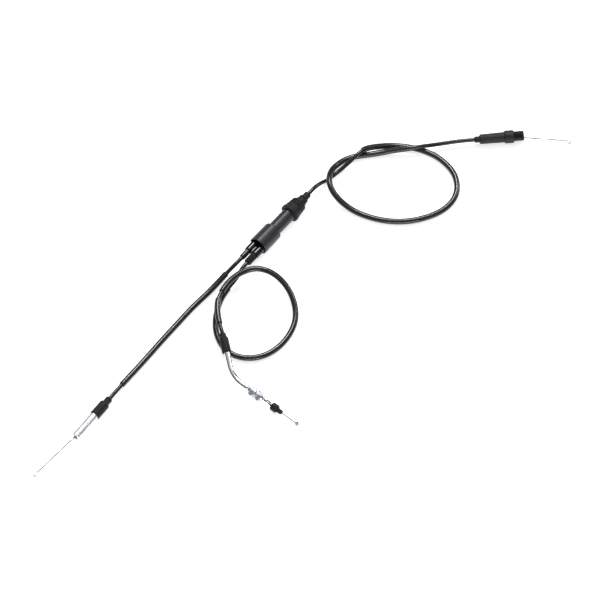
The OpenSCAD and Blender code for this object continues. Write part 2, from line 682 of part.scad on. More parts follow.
// A narrow relief groove, one pitch wide, ends the thread.
module pump_bent_tube() color("#c9ccd2") difference() {
    thread_depth = 0.4;
    bent_path(pump_tube_r, 0);
    bent_path(pump_tube_bore / 2, nudge);
    at_pump() difference() {
        bar(thread_start - thread_pitch, thread_start, pump_tube_d);
        bar(thread_start - thread_pitch - nudge, thread_start + nudge, pump_tube_r - thread_depth);
    }
}

module lock_nut(x) translate([x, 0, 0]) difference() {
    intersection() {
        rotate([0, 90, 0]) cylinder(h = nut_t, r = nut_corner_r, $fn = 6);
        turning([[0, 0], [0, nut_af / 2], [nut_corner_r - nut_af / 2, nut_corner_r],
            [nut_t - nut_corner_r + nut_af / 2, nut_corner_r], [nut_t, nut_af / 2], [nut_t, 0]]);
    }
    bar(-nudge, nut_t + nudge, pump_tube_r + running_gap);
}

module washer(x) difference() {
    bar(x, x + washer_t, washer_d / 2);
    bar(x - nudge, x + washer_t + nudge, pump_tube_r + 0.2);
}

module inner_lock_nut() color("#aeb4bc") at_pump() lock_nut(inner_nut_x);
module inner_washer() color("#b9bcc2") at_pump() washer(inner_washer_x);
module outer_washer() color("#b9bcc2") at_pump() washer(outer_washer_x);
module outer_lock_nut() color("#9aa7bb") at_pump() lock_nut(outer_nut_x);

module pump_dust_cap() color("#242427") at_pump() {
    corner = 0.8;
    wide_end = dust_cap_x + dust_cap_l;
    difference() {
        turning([[dust_cap_x, 0], [dust_cap_x, dust_cap_r - corner],
            [dust_cap_x + corner, dust_cap_r], [wide_end - corner, dust_cap_r],
            [wide_end, dust_cap_r - corner], [wide_end, dust_snout_r],
            [dust_cap_end - corner, dust_snout_r],
            [dust_cap_end, dust_snout_r - corner], [dust_cap_end, 0]]);
        bar(dust_cap_x - nudge, pump_thread_leg_l, pump_tube_r);
        bar(dust_cap_x, dust_cap_end + nudge, lower_wire_r + wire_gap);
    }
}

module pump_wire() color("dimgray") at_pump() difference() {
    bar(pump_wire_tail, dust_cap_end + pump_reach, lower_wire_r);
    translate([dust_cap_end + pump_reach, 0, 0])
        cylinder(h = pump_nipple_h, d = pump_nipple_d, center = true);
}

module pump_nipple() color("silver") at_pump() translate([dust_cap_end + pump_reach, 0, 0])
    nipple(pump_nipple_d, pump_nipple_h);

throttle_nipple();
throttle_wire();
throttle_adjuster();
throttle_boot();
throttle_ferrule();
upper_conduit();
upper_sleeve();
upper_ferrule();
splitter_cap();
splitter_housing();
splitter_slider();
splitter_upper_wire();
splitter_carb_wire();
splitter_pump_wire();
splitter_sleeve();
outlet_block();
carb_socket();
pump_socket();
carb_conduit();
carb_sleeve();
carb_ferrule();
carb_boot();
carb_tube();
carb_wire();
carb_nipple();
pump_conduit();
pump_sleeve();
pump_end_sleeve();
pump_ferrule();
pump_boot();
pump_bent_tube();
inner_lock_nut();
inner_washer();
outer_washer();
outer_lock_nut();
pump_dust_cap();
pump_wire();
pump_nipple();
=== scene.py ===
# %% [markdown]
# # A motorcycle throttle cable with one cable in and two cables out
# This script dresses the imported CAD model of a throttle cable. The CAD holds every size and every
# joint. Here each visible piece gets a finer surface in the same place, the cables get smooth
# curves, and every piece gets its own finish. Lengths are in metres.

# %% Load the frame
import json
import math

import bpy
from mathutils import Matrix, Vector


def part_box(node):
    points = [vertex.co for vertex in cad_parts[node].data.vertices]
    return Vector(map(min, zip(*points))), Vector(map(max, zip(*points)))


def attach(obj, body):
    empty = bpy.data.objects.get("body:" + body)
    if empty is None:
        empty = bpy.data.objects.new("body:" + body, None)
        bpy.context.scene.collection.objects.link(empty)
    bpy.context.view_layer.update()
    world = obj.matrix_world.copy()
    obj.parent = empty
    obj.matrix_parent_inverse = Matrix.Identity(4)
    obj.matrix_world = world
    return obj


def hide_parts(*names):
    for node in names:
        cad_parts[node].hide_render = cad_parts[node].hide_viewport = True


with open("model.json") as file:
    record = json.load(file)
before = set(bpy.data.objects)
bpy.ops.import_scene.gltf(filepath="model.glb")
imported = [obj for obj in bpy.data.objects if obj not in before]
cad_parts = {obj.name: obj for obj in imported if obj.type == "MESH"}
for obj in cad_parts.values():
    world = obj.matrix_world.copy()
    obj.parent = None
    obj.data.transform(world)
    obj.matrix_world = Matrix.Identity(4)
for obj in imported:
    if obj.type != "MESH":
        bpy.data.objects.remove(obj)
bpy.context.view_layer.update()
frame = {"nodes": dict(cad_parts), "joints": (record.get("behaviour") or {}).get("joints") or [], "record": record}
nodes = frame["nodes"]
mounts = {m["name"]: m for m in frame["record"]["mounts"]}
joints = {j["name"]: j for j in frame["joints"]}
MM = 0.001

# %% [markdown]
# ## The camera
# A long lens far away makes the near and far ends of a thing that lies flat look the same size. The
# camera stands in front of the object and looks down at
# it. The distance follows from the lens and from the width that the frame should take in.

# %% Camera
LENS_MM = 1400
SENSOR_MM = 36
VIEW_WIDTH = 0.732
CAMERA_ELEVATION = math.radians(56)
CAMERA_AIM = Vector((0.0014, 0.0019, 0.0))

camera_data = bpy.data.cameras.new("camera")
camera_data.lens = LENS_MM
camera_data.sensor_width = SENSOR_MM
camera_distance = VIEW_WIDTH * LENS_MM / SENSOR_MM
camera_back = Vector((0, -math.cos(CAMERA_ELEVATION), math.sin(CAMERA_ELEVATION)))
camera_data.clip_start = camera_distance * 0.5
camera_data.clip_end = camera_distance * 2
camera = bpy.data.objects.new("camera", camera_data)
camera.location = CAMERA_AIM + camera_back * camera_distance
camera.rotation_mode = "QUATERNION"
camera.rotation_quaternion = (-camera_back).to_track_quat("-Z", "Y")
bpy.context.scene.collection.objects.link(camera)
bpy.context.scene.camera = camera
print("camera distance", round(camera_distance, 2))

# %% [markdown]
# ## Local frames for the fittings
# Every fitting is a turned part on a straight axis, so it is easiest to draw it along X and then
# to carry it to its place. A frame is a matrix: its X axis points out of the fitting, away from
# the cable, and its Z axis stays up. The mounts and joints of the record say where each one is.

# %% Frames from the record
def axis_frame(origin, axis, roll=0.0):
    x = Vector(axis).normalized()
    y = Vector((0, 0, 1)).cross(x).normalized()
    z = x.cross(y)
    turn = Matrix((x, y, z)).transposed().to_4x4()
    return Matrix.Translation(Vector(origin)) @ turn @ Matrix.Rotation(roll, 4, "X")


def mount_frame(name, shift, roll=0.0):
    m = mounts[name]
    return axis_frame(Vector(m["pos_m"]) + Vector(m["axis"]) * shift, m["axis"], roll)


def box_centre(node):
    low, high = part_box(node)
    return (Vector(low) + Vector(high)) / 2


HOUSING_MIDDLE = 42.5 * MM
splitter_axis = Vector(joints["slider_lift"]["axis"])
splitter_frame = axis_frame(
    box_centre("splitter_housing") - splitter_axis * HOUSING_MIDDLE, splitter_axis)
throttle_frame = mount_frame("throttle_adjuster_head", 6 * MM)
carb_frame = mount_frame("carb_tube_body", 18 * MM)
PUMP_ROLL = math.radians(15.5)
pump_frame = mount_frame("pump_bracket_thread", -23.1 * MM, PUMP_ROLL)
for title, f in (("splitter", splitter_frame), ("throttle", throttle_frame),
                 ("carb", carb_frame), ("pump", pump_frame)):
    print(title, [round(v, 4) for v in f.translation])

# %% [markdown]
# ## Routes of the conduits
# A bowden cable is springy, so it lies in long even curves. A route is a short list of points, in
# metres, that the cable is drawn towards. The first and last points lie on the axes of the
# fittings, which keeps the cable straight where it leaves them. A cubic B-spline through such a
# list has no kinks, and it bends less than the list does.

# %% Route points
BEND_ANGLE = math.radians(38)
BEND_R = 44 * MM


def on_axis(fitting, x, y=0.0):
    return fitting @ Vector((x * MM, y * MM, 0))


leg_frame = (pump_frame
             @ Matrix.Translation((-BEND_R * math.sin(BEND_ANGLE),
                                   BEND_R * (1 - math.cos(BEND_ANGLE)), 0))
             @ Matrix.Rotation(math.pi - BEND_ANGLE, 4, "Z"))

# %% Middle points, in millimetres
upper_middle = [(21, 174, 8.2), (29, 181.5, 2.9), (38, 190.3, 2.9), (49, 199, 5.5),
    (61, 209, 11.2), (71, 220, 12), (80, 225, 9), (92, 229, 5.8), (106, 231, 4), (121, 230, 3.7),
    (136, 227, 3.7), (148, 222, 3.7), (161, 215, 3.7), (172, 204, 3.7), (180, 193, 3.7),
    (184, 181, 3.7), (185, 168, 3.7), (182, 155, 3.7), (175, 144, 3.7), (164, 134, 3.7),
    (147, 126, 3.7), (129, 121, 3.7), (111, 120, 3.7), (94, 122, 3.7), (78, 127, 3.7),
    (62, 134, 3.8), (48, 144, 6), (37, 155, 9.8), (31, 167, 12.6), (30, 179, 12.6),
    (33, 192, 9.2), (40, 203, 4.6), (51, 212, 3.7), (64, 216, 3.7), (79, 218, 3.7),
    (92, 220, 4.2), (104, 222, 6), (117, 222, 9), (130, 223, 11), (144, 225.6, 10.6),
    (158, 229, 8.6)]
carb_middle = [(-93, 42, 8.6), (-104, 29, 6), (-116, 15, 4.4), (-133, -3, 3.9), (-150, -26, 3.9),
    (-164, -44, 3.9), (-178, -63, 3.9), (-191, -81, 4.2), (-204, -99, 5.4)]
pump_middle = [(-80, 34, 9.6), (-91, 21, 8), (-100, 7, 5.2), (-104, -7, 4), (-106, -22, 4),
    (-106, -37, 4), (-102, -52, 4), (-95, -65, 4), (-84, -74, 4), (-70, -78, 4), (-55, -77, 4),
    (-41, -71, 4), (-28, -60, 4), (-18, -46, 4), (-11, -29, 4.2), (-9, -13, 5.2), (-12, 4, 8),
    (-19, 19, 12), (-30, 32, 15.6), (-43, 40, 18), (-57, 43, 18.6), (-70, 40, 18.2),
    (-83, 32, 17.2), (-92, 22, 16.4), (-99, 10, 16), (-103, 0, 15.8), (-104, -12, 15.8),
    (-103, -24, 16), (-101, -36, 16.6)]
upper_middle, carb_middle, pump_middle = (
    [Vector(q) * MM for q in points] for points in (upper_middle, carb_middle, pump_middle))
OUTLET_Y = 4.9
upper_route = ([on_axis(splitter_frame, 78 + d) for d in (0, 14, 25, 33)] + upper_middle
               + [on_axis(throttle_frame, -42 - d) for d in (38, 26, 14, 0)])
carb_route = ([on_axis(splitter_frame, -17 - d, OUTLET_Y) for d in (0, 10, 22)] + carb_middle
              + [on_axis(carb_frame, -50 - d) for d in (42, 28, 14, 0)])
pump_route = ([on_axis(splitter_frame, -19 - d, -OUTLET_Y) for d in (0, 10, 18)] + pump_middle
              + [on_axis(leg_frame, 28.5 + d) for d in (20, 16, 8, 0)])


# %% Path helper
class Path:
    """A dense line of points with arc lengths, a heading and a side at every place."""

    def __init__(self, points):
        self.points = points
        self.s = [0.0]
        for a, b in zip(points, points[1:]):
            self.s.append(self.s[-1] + (b - a).length)
        self.length = self.s[-1]

    def at(self, s):
        last = len(self.points) - 2
        i = min(max(0, self.index(s)), last)
        a, b = self.points[i], self.points[i + 1]
        t = (s - self.s[i]) / (self.s[i + 1] - self.s[i])
        before = self.points[max(i - 1, 0)]
        after = self.points[min(i + 2, last + 1)]
        heading = ((b - before).normalized() * (1 - t) + (after - a).normalized() * t)
        heading.normalize()
        side = heading.cross(Vector((0, 0, 1))).normalized()
        return a.lerp(b, t), side, side.cross(heading)

    def index(self, s):
        low, high = 0, len(self.s) - 1
        while high - low > 1:
            mid = (low + high) // 2
            low, high = (mid, high) if self.s[mid] <= s else (low, mid)
        return low


def spline(route, steps=8):
    """A cubic B-spline that starts and ends on the first and last points of the route."""
    p = [2 * route[0] - route[1]] + list(route) + [2 * route[-1] - route[-2]]
    dense = []
    for i in range(1, len(p) - 2):
        for k in range(steps):
            t = k / steps
            w = ((1 - t) ** 3, 3 * t**3 - 6 * t**2 + 4, -3 * t**3 + 3 * t**2 + 3 * t + 1, t**3)
            dense.append(sum((p[i - 1 + j] * w[j] for j in range(4)), Vector()) / 6)
    dense.append(route[-1].copy())
    return Path(dense)


STEPS = 8
upper_path = spline(upper_route, STEPS)
carb_path = spline(carb_route, STEPS)
pump_path = spline(pump_route, STEPS)
for title, p in (("upper", upper_path), ("carb", carb_path), ("pump", pump_path)):
    print(title, "conduit", round(p.length, 4))

# %% [markdown]
# ## Turning a profile on a path
# Conduits, sleeves, boots, tubes and caps are all the same kind of thing: a closed profile turned
# round an axis. On a lathe the axis is straight. For a cable it is a curve. One function makes all
# of them. The profile is a list of (place along the path, radius) corners, and each corner can
# have a small fillet, because no moulded or machined edge is perfectly sharp.

# %% Profile helpers
FILLET_STEPS = 4


def rounded(corners, closed):
    """Replaces each corner (s, r, fillet) by a short curve."""
    out = []
    count = len(corners)
    for i, corner in enumerate(corners):
        here = Vector(corner[:2])
        fillet = corner[2] if len(corner) > 2 else 0
        inner = closed or 0 < i < count - 1
        if not fillet or not inner:
            out.append(here)
            continue
        before = Vector(corners[i - 1][:2]) - here
        after = Vector(corners[(i + 1) % count][:2]) - here
        a = here + before.normalized() * min(fillet, before.length * 0.49)
        b = here + after.normalized() * min(fillet, after.length * 0.49)
        for k in range(FILLET_STEPS + 1):
            t = k / FILLET_STEPS
            out.append(a * (1 - t) ** 2 + here * 2 * t * (1 - t) + b * t**2)
    return out


def divided(points, closed, step):
    """Adds points so that no stretch is longer than step."""
    out = []
    pairs = zip(points, points[1:] + points[:1]) if closed else zip(points, points[1:])
    for a, b in pairs:
        pieces = max(1, math.ceil((b - a).length / step))
        out += [a.lerp(b, k / pieces) for k in range(pieces)]
    return out if closed else out + [points[-1]]


def turned_mesh(name, path, corners, step, sides=64, closed=None):
    """Turns a profile round a path. UV runs along the profile and round the piece, in cm."""
    if closed is None:
        closed = corners[0][1] > 0
    profile = divided(rounded([tuple(c) for c in corners], closed), closed, step)
    verts, faces, uvs = [], [], []
    run = [0.0]
    for a, b in zip(profile, profile[1:] + profile[:1]):
        run.append(run[-1] + (b - a).length)
    widest = max(q.y for q in profile)
    rings = []
    for q in profile:
        centre, side, up = path.at(q.x)
        if q.y < 1e-7:
            rings.append([len(verts)] * sides)
            verts.append(centre)
            continue
        rings.append(list(range(len(verts), len(verts) + sides)))
        for k in range(sides):
            turn = 2 * math.pi * k / sides - math.pi / 2
            verts.append(centre + q.y * (math.cos(turn) * side + math.sin(turn) * up))
    count = len(rings)
    for i in range(count if closed else count - 1):
        a, b = rings[i], rings[(i + 1) % count]
        for k in range(sides):
            n = (k + 1) % sides
            corner_ids = [a[k], a[n], b[n], b[k]]
            around = [k, k + 1, k + 1, k]
            along = [run[i], run[i], run[i + 1], run[i + 1]]
            keep = [j for j in range(4) if corner_ids[j] != corner_ids[j - 1]]
            faces.append([corner_ids[j] for j in keep])
            uvs += [(along[j] * 100, around[j] / sides * 2 * math.pi * widest * 100)
                    for j in keep]
    volume = 0.0
    for f in faces:
        for j in range(1, len(f) - 1):
            volume += verts[f[0]].dot(verts[f[j]].cross(verts[f[j + 1]]))
    mesh = bpy.data.meshes.new(name)
    mesh.from_pydata(verts, [], faces)
    layer = mesh.uv_layers.new(name="UVMap")
    for loop, uv in zip(layer.data, uvs):
        loop.uv = uv
    if volume < 0:
        mesh.flip_normals()
    mesh.update()
    return mesh


SMOOTH_ANGLE = math.radians(38)


def add_object(name, mesh, place=None):
    if place is not None:
        mesh.transform(place)
    mesh.shade_smooth()
    mesh.set_sharp_from_angle(angle=SMOOTH_ANGLE)
    o = bpy.data.objects.new(name, mesh)
    bpy.context.scene.collection.objects.link(o)
    return o


def straight(x0, x1):
    return Path([Vector((x0 * MM, 0, 0)), Vector(((x0 + x1) / 2 * MM, 0, 0)),
                 Vector((x1 * MM, 0, 0))])


def mm(corners):
    return [tuple(v * MM for v in c) for c in corners]


def turned_part(name, place, corners, step=4.0, sides=64):
    """A turned piece on a straight axis. Its corners are (x, radius, fillet) in millimetres."""
    x0 = min(c[0] for c in corners) - 1
    x1 = max(c[0] for c in corners) + 1
    shifted = [(c[0] - x0,) + tuple(c[1:]) for c in corners]
    mesh = turned_mesh(name, straight(x0, x1), mm(shifted), step * MM, sides)
    return add_object(name, mesh, place)


# %% [markdown]
# ## Conduits and sleeves
# A conduit is a steel coil with a plastic jacket, and the jacket is all that shows. Each of the
# three conduits is one smooth tube from ferrule to ferrule. A protective sleeve is a softer,
# thicker tube that is slipped over the conduit and cut square, so its wall shows at each end.

# %% Conduits
UPPER_R = 2.5 * MM
LOWER_R = 2.5 * MM
SLEEVE_GAP = 0.2 * MM
SLEEVE_WALL = 0.95 * MM
RING_STEP = 3 * MM


def conduit(name, path, r):
    lip = 0.3 * MM
    corners = [(0, 0), (0, r, lip), (path.length, r, lip), (path.length, 0)]
    o = add_object(name, turned_mesh(name, path, corners, RING_STEP, 28))
    print(name, "length", round(path.length, 4), "faces", len(o.data.polygons))
    return o


def sleeve(name, path, span, r):
    """span holds the first and last route point that the sleeve covers."""
    s0, s1 = (path.s[i * STEPS] for i in span)
    r_in = r + SLEEVE_GAP
    r_out = r_in + SLEEVE_WALL
    lip = 0.25 * MM
    corners = [(s0, r_in, lip), (s0, r_out, lip), (s1, r_out, lip), (s1, r_in, lip)]
    o = add_object(name, turned_mesh(name, path, corners, RING_STEP, 28))
    print(name, "from", round(s0, 3), "to", round(s1, 3))
    return o


upper_conduit = conduit("upper_conduit_tube", upper_path, UPPER_R)
carb_conduit = conduit("carb_conduit_tube", carb_path, LOWER_R)
pump_conduit = conduit("pump_conduit_tube", pump_path, LOWER_R)
upper_sleeve = sleeve("upper_sleeve_tube", upper_path, (9, 42), UPPER_R)
carb_sleeve = sleeve("carb_sleeve_tube", carb_path, (3, 12), LOWER_R)
pump_sleeve = sleeve("pump_sleeve_tube", pump_path, (4, 27), LOWER_R)
pump_end_sleeve = sleeve("pump_end_sleeve_tube", pump_path, (28, 31), LOWER_R)

# %% Conduits as free cords
for piece, covers, path, r, own in (
        (upper_conduit, "upper_conduit", upper_path, UPPER_R, [upper_sleeve]),
        (carb_conduit, "carb_conduit", carb_path, LOWER_R, [carb_sleeve]),
        (pump_conduit, "pump_conduit", pump_path, LOWER_R, [pump_sleeve, pump_end_sleeve])):
    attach(piece, "cable")
    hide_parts(covers)
    for tube in own:
        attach(tube, "cable")
        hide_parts(tube.name.replace("_tube", ""))

# %% [markdown]
# ## Geometry Nodes for what repeats
# Screw threads, flutes, ribs and wire strands are rules, not drawings. Each is a small node tree
# with named inputs. A thread is a triangle wave pushed into the surface, which depends on the
# place along the axis and on the angle round it. A stranded wire is one helix, copied round.

# %% Node tree helpers
def new_tree(name, inputs):
    """A geometry node tree with a Geometry input and output and the named inputs."""
    tree = bpy.data.node_groups.new(name, "GeometryNodeTree")
    tree.interface.new_socket("Geometry", in_out="INPUT", socket_type="NodeSocketGeometry")
    tree.interface.new_socket("Geometry", in_out="OUTPUT", socket_type="NodeSocketGeometry")
    for title, kind, value in inputs:
        socket = tree.interface.new_socket(title, in_out="INPUT",
                                           socket_type="NodeSocket" + kind)
        if value is not None:
            socket.default_value = value
    return tree, tree.nodes.new("NodeGroupInput"), tree.nodes.new("NodeGroupOutput")


class Sums:
    """Short calls for math nodes inside one tree."""

    def __init__(self, tree):
        self.tree = tree

    def put(self, socket, value):
        if isinstance(value, bpy.types.NodeSocket):
            self.tree.links.new(value, socket)
        else:
            socket.default_value = value

    def math(self, operation, *values):
        node = self.tree.nodes.new("ShaderNodeMath")
        node.operation = operation
        for socket, value in zip(node.inputs, values):
            self.put(socket, value)
        return node.outputs[0]

    def combine(self, x, y, z):
        node = self.tree.nodes.new("ShaderNodeCombineXYZ")
        for socket, value in zip(node.inputs, (x, y, z)):
            self.put(socket, value)
        return node.outputs[0]

    def separate(self, vector):
        node = self.tree.nodes.new("ShaderNodeSeparateXYZ")
        self.put(node.inputs[0], vector)
        return node.outputs

    def node(self, kind, **values):
        node = self.tree.nodes.new(kind)
        for title, value in values.items():
            self.put(node.inputs[title.replace("_", " ")], value)
        return node


def finish_tree(tree, out, geometry, material):
    """Every tree ends in Realize Instances and Set Material."""
    sums = Sums(tree)
    real = sums.node("GeometryNodeRealizeInstances", Geometry=geometry)
    paint = sums.node("GeometryNodeSetMaterial", Geometry=real.outputs[0], Material=material)
    tree.links.new(paint.outputs[0], out.inputs[0])


def run_tree(o, tree, **values):
    """Runs a tree on an object, keeps the result as its mesh and removes the modifier."""
    modifier = o.modifiers.new(tree.name, "NODES")
    modifier.node_group = tree
    for item in tree.interface.items_tree:
        key = item.name.replace(" ", "_")
        if item.item_type == "SOCKET" and item.in_out == "INPUT" and key in values:
            modifier[item.identifier] = values[key]
    graph = bpy.context.evaluated_depsgraph_get()
    mesh = bpy.data.meshes.new_from_object(o.evaluated_get(graph))
    o.modifiers.remove(modifier)
    o.data = mesh
    mesh.shade_smooth()
    mesh.set_sharp_from_angle(angle=SMOOTH_ANGLE)
    print(tree.name, "on", o.name, "faces", len(mesh.polygons))


# %% Thread and flutes
def surface_tree(name, flutes):
    """Pushes the outer skin in: a right-hand thread, or straight flutes along the axis."""
    tree, group_in, out = new_tree(name, [
        ("Pitch", "Float", MM), ("Depth", "Float", 0.3 * MM), ("Start", "Float", 0.0),
        ("End", "Float", 0.01), ("Least Radius", "Float", 0.0), ("Count", "Float", 30.0),
        ("Material", "Material", None)])
    s = Sums(tree)
    given = group_in.outputs
    position = tree.nodes.new("GeometryNodeInputPosition").outputs[0]
    x, y, z = s.separate(position)
    radius = s.math("SQRT", s.math("ADD", s.math("MULTIPLY", y, y), s.math("MULTIPLY", z, z)))
    turn = s.math("DIVIDE", s.math("ARCTAN2", z, y), 2 * math.pi)
    if flutes:
        phase = s.math("MULTIPLY", turn, given["Count"])
    else:
        phase = s.math("SUBTRACT", s.math("DIVIDE", x, given["Pitch"]), turn)
    wave = s.math("PINGPONG", s.math("MULTIPLY", phase, 2.0), 1.0)
    soft = s.node("ShaderNodeMapRange", Value=wave)
    soft.interpolation_type = "SMOOTHSTEP"
    edge = 0.4 * MM
    rise = s.node("ShaderNodeMapRange", Value=x, From_Min=given["Start"],
                  From_Max=s.math("ADD", given["Start"], edge))
    fall = s.node("ShaderNodeMapRange", Value=x, From_Min=given["End"],
                  From_Max=s.math("SUBTRACT", given["End"], edge))
    mask = s.math("MULTIPLY", rise.outputs[0], fall.outputs[0])
    mask = s.math("MULTIPLY", mask, s.math("GREATER_THAN", radius, given["Least Radius"]))
    push = s.math("MULTIPLY", s.math("MULTIPLY", soft.outputs[0], given["Depth"]), mask)
    scale = s.math("DIVIDE", s.math("MULTIPLY", push, -1.0), s.math("MAXIMUM", radius, 1e-6))
    offset = s.combine(0.0, s.math("MULTIPLY", y, scale), s.math("MULTIPLY", z, scale))
    moved = s.node("GeometryNodeSetPosition", Geometry=given["Geometry"], Offset=offset)
    finish_tree(tree, out, moved.outputs[0], given["Material"])
    return tree


thread_tree = surface_tree("Screw thread", False)
flute_tree = surface_tree("Straight flutes", True)


# %% Stranded wire
def strand_tree():
    """Copies one helix round the axis and gives every copy a round section."""
    tree, group_in, out = new_tree("Stranded wire", [
        ("Length", "Float", 0.05), ("Wire Radius", "Float", 0.8 * MM), ("Strands", "Int", 7),
        ("Lay", "Float", 0.012), ("Rings", "Int", 120), ("Material", "Material", None)])
    s = Sums(tree)
    given = group_in.outputs
    line = s.node("GeometryNodeCurvePrimitiveLine")
    s.put(line.inputs["End"], s.combine(given["Length"], 0.0, 0.0))
    even = s.node("GeometryNodeResampleCurve", Curve=line.outputs[0], Count=given["Rings"])
    copies = tree.nodes.new("GeometryNodeDuplicateElements")
    copies.domain = "SPLINE"
    s.put(copies.inputs["Geometry"], even.outputs[0])
    s.put(copies.inputs["Amount"], given["Strands"])
    position = tree.nodes.new("GeometryNodeInputPosition").outputs[0]
    x = s.separate(position)[0]
    strand_r = s.math("MULTIPLY", given["Wire Radius"], 0.3)
    lie_r = s.math("SUBTRACT", given["Wire Radius"], strand_r)
    turn = s.math("ADD", s.math("DIVIDE", x, given["Lay"]),
                  s.math("DIVIDE", copies.outputs["Duplicate Index"], given["Strands"]))
    angle = s.math("MULTIPLY", turn, 2 * math.pi)
    place = s.combine(x, s.math("MULTIPLY", s.math("COSINE", angle), lie_r),
                      s.math("MULTIPLY", s.math("SINE", angle), lie_r))
    moved = s.node("GeometryNodeSetPosition", Geometry=copies.outputs[0], Position=place)
    section = tree.nodes.new("GeometryNodeCurvePrimitiveCircle")
    section.inputs["Resolution"].default_value = 8
    s.put(section.inputs["Radius"], strand_r)
    swept = tree.nodes.new("GeometryNodeCurveToMesh")
    s.put(swept.inputs["Curve"], moved.outputs[0])
    s.put(swept.inputs["Profile Curve"], section.outputs[0])
    swept.inputs["Fill Caps"].default_value = True
    finish_tree(tree, out, swept.outputs[0], given["Material"])
    return tree


wire_tree = strand_tree()


# %% Row of ribs
def rib_tree():
    """Adds a row of rounded rings to a turned piece."""
    tree, group_in, out = new_tree("Row of ribs", [
        ("Ribs", "Int", 5), ("Start", "Float", 0.0), ("Spacing", "Float", 2 * MM),
        ("Ring Radius", "Float", 4 * MM), ("Rib Width", "Float", 0.5 * MM),
        ("Material", "Material", None)])
    s = Sums(tree)
    given = group_in.outputs
    row = tree.nodes.new("GeometryNodeMeshLine")
    s.put(row.inputs["Count"], given["Ribs"])
    s.put(row.inputs["Start Location"], s.combine(given["Start"], 0.0, 0.0))
    s.put(row.inputs["Offset"], s.combine(given["Spacing"], 0.0, 0.0))
    circle = tree.nodes.new("GeometryNodeCurvePrimitiveCircle")
    circle.inputs["Resolution"].default_value = 64
    s.put(circle.inputs["Radius"], given["Ring Radius"])
    section = tree.nodes.new("GeometryNodeCurvePrimitiveCircle")
    section.inputs["Resolution"].default_value = 10
    s.put(section.inputs["Radius"], given["Rib Width"])
    swept = tree.nodes.new("GeometryNodeCurveToMesh")
    s.put(swept.inputs["Curve"], circle.outputs[0])
    s.put(swept.inputs["Profile Curve"], section.outputs[0])
    placed = tree.nodes.new("GeometryNodeInstanceOnPoints")
    s.put(placed.inputs["Points"], row.outputs[0])
    s.put(placed.inputs["Instance"], swept.outputs[0])
    placed.inputs["Rotation"].default_value = (0, math.pi / 2, 0)
    joined = tree.nodes.new("GeometryNodeJoinGeometry")
    tree.links.new(given["Geometry"], joined.inputs[0])
    tree.links.new(placed.outputs[0], joined.inputs[0])
    finish_tree(tree, out, joined.outputs[0], given["Material"])
    return tree


ribs_tree = rib_tree()

# %% [markdown]
# ## Finishes
# Almost everything here is black, so the pieces are told apart by their gloss and by their grain.
# The jacket is shiny extruded plastic with faint lines along it. The boots are matte rubber. The
# splitter is satin plastic. The metals are turned aluminium, bright plating and zinc. Three small
# node groups make the fine variation, and each finish uses them with its own values.

# %% Shader node groups
def new_shader_group(name, inputs, outputs):
    group = bpy.data.node_groups.new(name, "ShaderNodeTree")
    for title, kind, value in inputs:
        socket = group.interface.new_socket(title, in_out="INPUT",
                                            socket_type="NodeSocket" + kind)
        if value is not None:
            socket.default_value = value
    for title, kind in outputs:
        group.interface.new_socket(title, in_out="OUTPUT", socket_type="NodeSocket" + kind)
    return group, group.nodes.new("NodeGroupInput"), group.nodes.new("NodeGroupOutput")


def mottle_group():
    """Soft blotches and fine grain, both from 0 to 1."""
    group, group_in, out = new_shader_group("Mottle and grain", [
        ("Vector", "Vector", None), ("Blotch Scale", "Float", 0.3),
        ("Grain Scale", "Float", 8.0)], [("Blotch", "Float"), ("Grain", "Float")])
    s = Sums(group)
    for title, detail in (("Blotch", 3.0), ("Grain", 5.0)):
        noise = s.node("ShaderNodeTexNoise", Vector=group_in.outputs["Vector"],
                       Scale=group_in.outputs[title + " Scale"], Detail=detail)
        spread = s.node("ShaderNodeMapRange", Value=noise.outputs[0], From_Min=0.3,
                        From_Max=0.7)
        group.links.new(spread.outputs[0], out.inputs[title])
    return group


def line_group():
    """Lines that run along or round a piece, from its UV map."""
    group, group_in, out = new_shader_group("Drawn lines", [
        ("UV", "Vector", None), ("Along", "Float", 1.0), ("Across", "Float", 60.0)],
        [("Lines", "Float")])
    s = Sums(group)
    u, v, _ = s.separate(group_in.outputs["UV"])
    stretched = s.combine(s.math("MULTIPLY", u, group_in.outputs["Along"]),
                          s.math("MULTIPLY", v, group_in.outputs["Across"]), 0.0)
    noise = s.node("ShaderNodeTexNoise", Vector=stretched, Scale=1.0, Detail=3.0)
    spread = s.node("ShaderNodeMapRange", Value=noise.outputs[0], From_Min=0.3, From_Max=0.7)
    group.links.new(spread.outputs[0], out.inputs["Lines"])
    return group


def scuff_group():
    """Sparse short scratches, 1 on a scratch and 0 elsewhere."""
    group, group_in, out = new_shader_group("Light scuffs", [
        ("Vector", "Vector", None), ("Scale", "Float", 0.6)], [("Scuff", "Float")])
    s = Sums(group)
    warp = s.node("ShaderNodeTexNoise", Vector=group_in.outputs["Vector"],
                  Scale=group_in.outputs["Scale"], Detail=8.0, Roughness=0.7)
    band = s.math("ABSOLUTE", s.math("SUBTRACT", warp.outputs[0], 0.5))
    thin = s.node("ShaderNodeMapRange", Value=band, From_Min=0.012, From_Max=0.0)
    where = s.node("ShaderNodeTexNoise", Vector=group_in.outputs["Vector"],
                   Scale=s.math("MULTIPLY", group_in.outputs["Scale"], 0.35), Detail=1.0)
    spots = s.node("ShaderNodeMapRange", Value=where.outputs[0], From_Min=0.52, From_Max=0.62)
    group.links.new(s.math("MULTIPLY", thin.outputs[0], spots.outputs[0]), out.inputs[0])
    return group


mottle = mottle_group()
drawn_lines = line_group()
scuffs = scuff_group()


